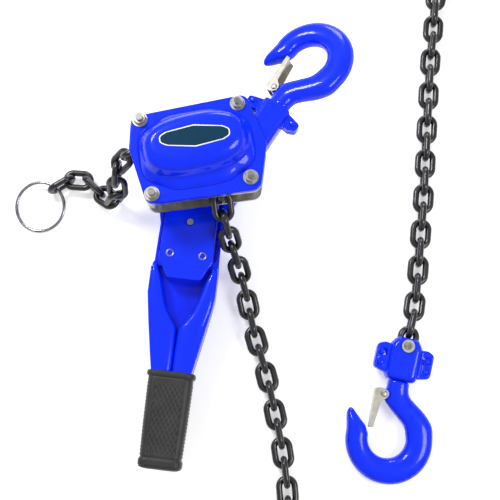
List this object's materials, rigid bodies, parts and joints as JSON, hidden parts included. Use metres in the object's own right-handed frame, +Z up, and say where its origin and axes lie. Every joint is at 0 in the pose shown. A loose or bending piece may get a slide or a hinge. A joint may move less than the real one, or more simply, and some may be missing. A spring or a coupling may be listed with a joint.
{
  "type": "lever chain hoist",
  "caption": "Ratchet lever hoist with load chain, swivel hooks with safety latches, planetary-style spur gear train and friction brake, laid out flat.",
  "frame": {"origin": "axis of the drive shaft at the flat underside of the hand wheel, which the hoist rests on", "axes": "+Z up from the surface towards the gear cover, +X towards the bottom hook's side, -Y along the lever"},
  "size_m": [0.6897, 0.8298, 0.1573],
  "materials": {
    "blue_enamel": "gloss",
    "zinc_plate": "satin",
    "bright_steel": "satin",
    "chrome_ring": "polished",
    "black_oxide_steel": "oiled black oxide",
    "friction_lining": "matt",
    "black_rubber": "matt"
  },
  "bodies": {
    "hoist_frame": {"gear_cover": "blue_enamel", "front_side_plate": "zinc_plate", "back_side_plate": "zinc_plate", "stay_bolts": "bright_steel", "cover_washers": "zinc_plate", "cover_nuts": "zinc_plate", "rear_nuts": "zinc_plate", "guide_rollers": "bright_steel", "chain_stripper": "zinc_plate", "brake_cover": "blue_enamel", "ratchet_disc": "bright_steel", "friction_discs": "friction_lining", "front_bearing": "bright_steel", "back_bearing": "bright_steel", "brake_pawls": "bright_steel", "top_pin": "bright_steel", "load_chain": "black_oxide_steel", "chain_over_sheave": "black_oxide_steel", "tail_chain": "black_oxide_steel"},
    "drive": {"drive_shaft": "bright_steel", "drive_pinion": "bright_steel", "disc_hub": "bright_steel", "change_gear": "bright_steel", "hand_wheel": "blue_enamel", "hand_wheel_nut": "zinc_plate", "hand_wheel_cap": "black_rubber"},
    "sheave": {"load_sheave": "black_oxide_steel", "load_gear": "bright_steel"},
    "idler_1": {"idler_gear_1": "bright_steel", "idler_pinion_1": "bright_steel", "idler_shaft_1": "bright_steel"},
    "idler_2": {"idler_gear_2": "bright_steel", "idler_pinion_2": "bright_steel", "idler_shaft_2": "bright_steel"},
    "lever": {"lever_arm": "blue_enamel", "lever_plate": "blue_enamel", "lever_rivets": "zinc_plate", "grip": "black_rubber"},
    "selector": {"selector_pin": "zinc_plate", "change_pawl": "bright_steel"},
    "top_yoke": {"top_yoke_front": "blue_enamel", "top_yoke_back": "blue_enamel", "yoke_rivets": "blue_enamel"},
    "top_hook_body": {"top_hook": "blue_enamel", "top_hook_nut": "bright_steel", "top_latch_pin": "bright_steel"},
    "top_latch_body": {"top_latch": "zinc_plate"},
    "bottom_block": {"bottom_block_front": "blue_enamel", "bottom_block_back": "blue_enamel", "block_rivets": "blue_enamel", "chain_pin": "bright_steel", "chain_pin_nut": "zinc_plate"},
    "bottom_hook_body": {"bottom_hook": "blue_enamel", "bottom_hook_nut": "bright_steel", "bottom_latch_pin": "bright_steel"},
    "bottom_latch_body": {"bottom_latch": "zinc_plate"},
    "ring": {"tail_ring": "chrome_ring"}
  },
  "joints": [
    {"name": "hand_wheel_spin", "type": "hinge", "parent": "hoist_frame", "child": "drive", "pos_m": [0, 0, 0], "axis": [0, 0, 1], "continuous": true},
    {"name": "sheave_spin", "type": "hinge", "parent": "hoist_frame", "child": "sheave", "pos_m": [0, 0, 0.101], "axis": [0, 0, 1], "continuous": true, "deforming": ["chain_over_sheave"]},
    {"name": "idler_1_spin", "type": "hinge", "parent": "hoist_frame", "child": "idler_1", "pos_m": [0.03151, 0.00556, 0], "axis": [0, 0, 1], "continuous": true},
    {"name": "idler_2_spin", "type": "hinge", "parent": "hoist_frame", "child": "idler_2", "pos_m": [-0.03151, -0.00556, 0], "axis": [0, 0, 1], "continuous": true},
    {"name": "lever_swing", "type": "hinge", "parent": "hoist_frame", "child": "lever", "pos_m": [0, 0, 0.044], "axis": [0, 0, 1], "range_deg": [-34, 0]},
    {"name": "selector_turn", "type": "hinge", "parent": "lever", "child": "selector", "pos_m": [-0.00851, -0.07351, 0.044], "axis": [0, 0, 1], "range_deg": [-10, 10]},
    {"name": "top_yoke_swing", "type": "hinge", "parent": "hoist_frame", "child": "top_yoke", "pos_m": [0.06928, 0.01597, 0.101], "axis": [0, 0, 1], "range_deg": [-40, 3]},
    {"name": "top_hook_swivel", "type": "hinge", "parent": "top_yoke", "child": "top_hook_body", "pos_m": [0.06928, 0.01597, 0.101], "axis": [0.5446, 0.8387, 0], "continuous": true},
    {"name": "top_latch_open", "type": "hinge", "parent": "top_hook_body", "child": "top_latch_body", "pos_m": [0.09671, 0.0846, 0.09519], "axis": [0.3142, -0.204, -0.9272], "range_deg": [0, 30], "stiffness_Nm_per_rad": 0.05, "springref_deg": -17.19},
    {"name": "bottom_block_swing", "type": "hinge", "parent": "hoist_frame", "child": "bottom_block", "pos_m": [0.25818, -0.2226, 0.02004], "axis": [-0.01, -0.0419, 0.9991], "range_deg": [-10, 10]},
    {"name": "bottom_hook_swivel", "type": "hinge", "parent": "bottom_block", "child": "bottom_hook_body", "pos_m": [0.25818, -0.2226, 0.02004], "axis": [-0.2332, -0.9715, -0.043], "continuous": true},
    {"name": "bottom_latch_open", "type": "hinge", "parent": "bottom_hook_body", "child": "bottom_latch_body", "pos_m": [0.22853, -0.27969, 0.01735], "axis": [-0.01, -0.0419, 0.9991], "range_deg": [0, 30], "stiffness_Nm_per_rad": 0.05, "springref_deg": -17.19},
    {"name": "tail_ring_lift", "type": "hinge", "parent": "hoist_frame", "child": "ring", "pos_m": [-0.18567, -0.01671, 0.0135], "axis": [0.766, -0.6428, 0], "range_deg": [-75, 0]}
  ],
  "couplings": [
    {"joint": "hand_wheel_spin", "follows": "sheave_spin", "ratio": 4.84},
    {"joint": "idler_1_spin", "follows": "sheave_spin", "ratio": -2.2},
    {"joint": "idler_2_spin", "follows": "sheave_spin", "ratio": -2.2}
  ]
}
